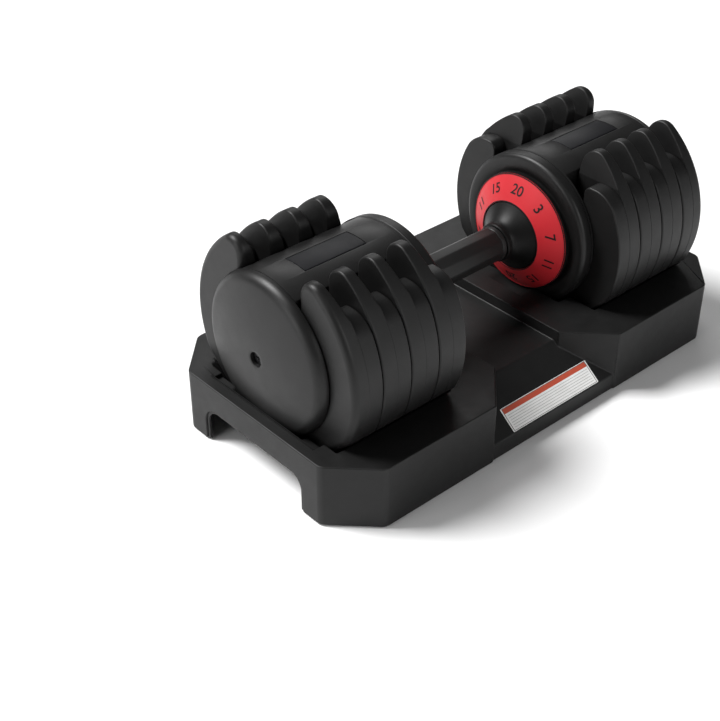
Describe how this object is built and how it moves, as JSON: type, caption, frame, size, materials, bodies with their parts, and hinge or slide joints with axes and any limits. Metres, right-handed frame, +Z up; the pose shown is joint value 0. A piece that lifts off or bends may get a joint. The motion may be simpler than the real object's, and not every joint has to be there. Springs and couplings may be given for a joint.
{
  "type": "adjustable dumbbell",
  "caption": "Adjustable dumbbell with a twist handle, red weight dials, stacked U-shaped plates on each side and a moulded storage tray.",
  "frame": {"origin": "bottom centre of the tray, on the floor", "axes": "+X along the handle, +Z up, -Y towards the label on the tray's front"},
  "size_m": [0.409, 0.211, 0.1705],
  "materials": {
    "tray_plastic": "fine moulded texture",
    "rubber": "matt",
    "label_vinyl": "blank printed vinyl",
    "steel": "brushed",
    "zinc_steel": "zinc plated",
    "plate_plastic": "satin moulded",
    "cover_plastic": "satin moulded",
    "badge_film": "satin film, blank",
    "dial_red": "satin red",
    "hub_plastic": "semi-gloss",
    "grip_rubber": "satin",
    "nylon": "natural nylon",
    "bronze": "sintered bronze",
    "frame_plastic": "glass-filled nylon"
  },
  "bodies": {
    "tray": {"tray_shell": "tray_plastic", "tray_feet": "rubber", "tray_label": "label_vinyl", "release_posts": "nylon"},
    "carriage": {"inner_disc_right": "cover_plastic", "inner_disc_left": "cover_plastic", "core_frame_right": "frame_plastic", "core_frame_left": "frame_plastic", "saddle_cover_right": "cover_plastic", "saddle_cover_left": "cover_plastic", "badge_right": "badge_film", "badge_left": "badge_film", "end_cap_right": "cover_plastic", "end_cap_left": "cover_plastic", "lock_spring_right": "zinc_steel", "lock_spring_left": "zinc_steel", "tie_rod": "steel", "rod_bushes": "bronze", "end_screws": "zinc_steel", "end_washers": "zinc_steel", "disc_screws": "zinc_steel", "detent_springs": "zinc_steel"},
    "selector": {"handle_tube": "steel", "handle_grip": "grip_rubber", "hub_right": "hub_plastic", "hub_left": "hub_plastic", "dial_ring_right": "dial_red", "dial_ring_left": "dial_red", "index_wheel_right": "zinc_steel", "index_wheel_left": "zinc_steel", "selector_disc_1_right": "nylon", "selector_disc_1_left": "nylon", "selector_disc_2_right": "nylon", "selector_disc_2_left": "nylon", "selector_disc_3_right": "nylon", "selector_disc_3_left": "nylon", "selector_disc_4_right": "nylon", "selector_disc_4_left": "nylon"},
    "lock_right": {"lock_slider_right": "zinc_steel"},
    "detent_right": {"detent_ball_right": "zinc_steel"},
    "lock_left": {"lock_slider_left": "zinc_steel"},
    "detent_left": {"detent_ball_left": "zinc_steel"},
    "weight_right_1": {"weight_jacket_right_1": "plate_plastic", "weight_core_right_1": "steel"},
    "weight_right_2": {"weight_jacket_right_2": "plate_plastic", "weight_core_right_2": "steel"},
    "weight_right_3": {"weight_jacket_right_3": "plate_plastic", "weight_core_right_3": "steel"},
    "weight_right_4": {"weight_jacket_right_4": "plate_plastic", "weight_core_right_4": "steel"},
    "weight_left_1": {"weight_jacket_left_1": "plate_plastic", "weight_core_left_1": "steel"},
    "weight_left_2": {"weight_jacket_left_2": "plate_plastic", "weight_core_left_2": "steel"},
    "weight_left_3": {"weight_jacket_left_3": "plate_plastic", "weight_core_left_3": "steel"},
    "weight_left_4": {"weight_jacket_left_4": "plate_plastic", "weight_core_left_4": "steel"}
  },
  "joints": [
    {"name": "lift", "type": "slide", "parent": "tray", "child": "carriage", "axis": [0, 0, 1], "range_m": [0, 0.15]},
    {"name": "dial_turn", "type": "hinge", "parent": "carriage", "child": "selector", "pos_m": [0, 0, 0.0976], "axis": [1, 0, 0], "range_deg": [0, 144]},
    {"name": "lock_right_slide", "type": "slide", "parent": "carriage", "child": "lock_right", "axis": [0, 0, -1], "range_m": [0, 0.006], "deforming": ["lock_spring_right"]},
    {"name": "detent_right_slide", "type": "slide", "parent": "carriage", "child": "detent_right", "axis": [0, -0.9511, -0.309], "range_m": [0, 0.0008]},
    {"name": "lock_left_slide", "type": "slide", "parent": "carriage", "child": "lock_left", "axis": [0, 0, -1], "range_m": [0, 0.006], "deforming": ["lock_spring_left"]},
    {"name": "detent_left_slide", "type": "slide", "parent": "carriage", "child": "detent_left", "axis": [0, -0.9511, -0.309], "range_m": [0, 0.0008]},
    {"name": "weight_right_1_lift", "type": "slide", "parent": "tray", "child": "weight_right_1", "axis": [0, 0, 1], "range_m": [0, 0.15]},
    {"name": "weight_right_2_lift", "type": "slide", "parent": "tray", "child": "weight_right_2", "axis": [0, 0, 1], "range_m": [0, 0.15]},
    {"name": "weight_right_3_lift", "type": "slide", "parent": "tray", "child": "weight_right_3", "axis": [0, 0, 1], "range_m": [0, 0.15]},
    {"name": "weight_right_4_lift", "type": "slide", "parent": "tray", "child": "weight_right_4", "axis": [0, 0, 1], "range_m": [0, 0.15]},
    {"name": "weight_left_1_lift", "type": "slide", "parent": "tray", "child": "weight_left_1", "axis": [0, 0, 1], "range_m": [0, 0.15]},
    {"name": "weight_left_2_lift", "type": "slide", "parent": "tray", "child": "weight_left_2", "axis": [0, 0, 1], "range_m": [0, 0.15]},
    {"name": "weight_left_3_lift", "type": "slide", "parent": "tray", "child": "weight_left_3", "axis": [0, 0, 1], "range_m": [0, 0.15]},
    {"name": "weight_left_4_lift", "type": "slide", "parent": "tray", "child": "weight_left_4", "axis": [0, 0, 1], "range_m": [0, 0.15]}
  ],
  "couplings": [
    {"joint": "lock_right_slide", "follows": "lift", "ratio": 0.04},
    {"joint": "lock_left_slide", "follows": "lift", "ratio": 0.04},
    {"joint": "weight_right_1_lift", "follows": "lift", "ratio": 1},
    {"joint": "weight_right_2_lift", "follows": "lift", "ratio": 1},
    {"joint": "weight_right_3_lift", "follows": "lift", "ratio": 1},
    {"joint": "weight_right_4_lift", "follows": "lift", "ratio": 1},
    {"joint": "weight_left_1_lift", "follows": "lift", "ratio": 1},
    {"joint": "weight_left_2_lift", "follows": "lift", "ratio": 1},
    {"joint": "weight_left_3_lift", "follows": "lift", "ratio": 1},
    {"joint": "weight_left_4_lift", "follows": "lift", "ratio": 1}
  ]
}
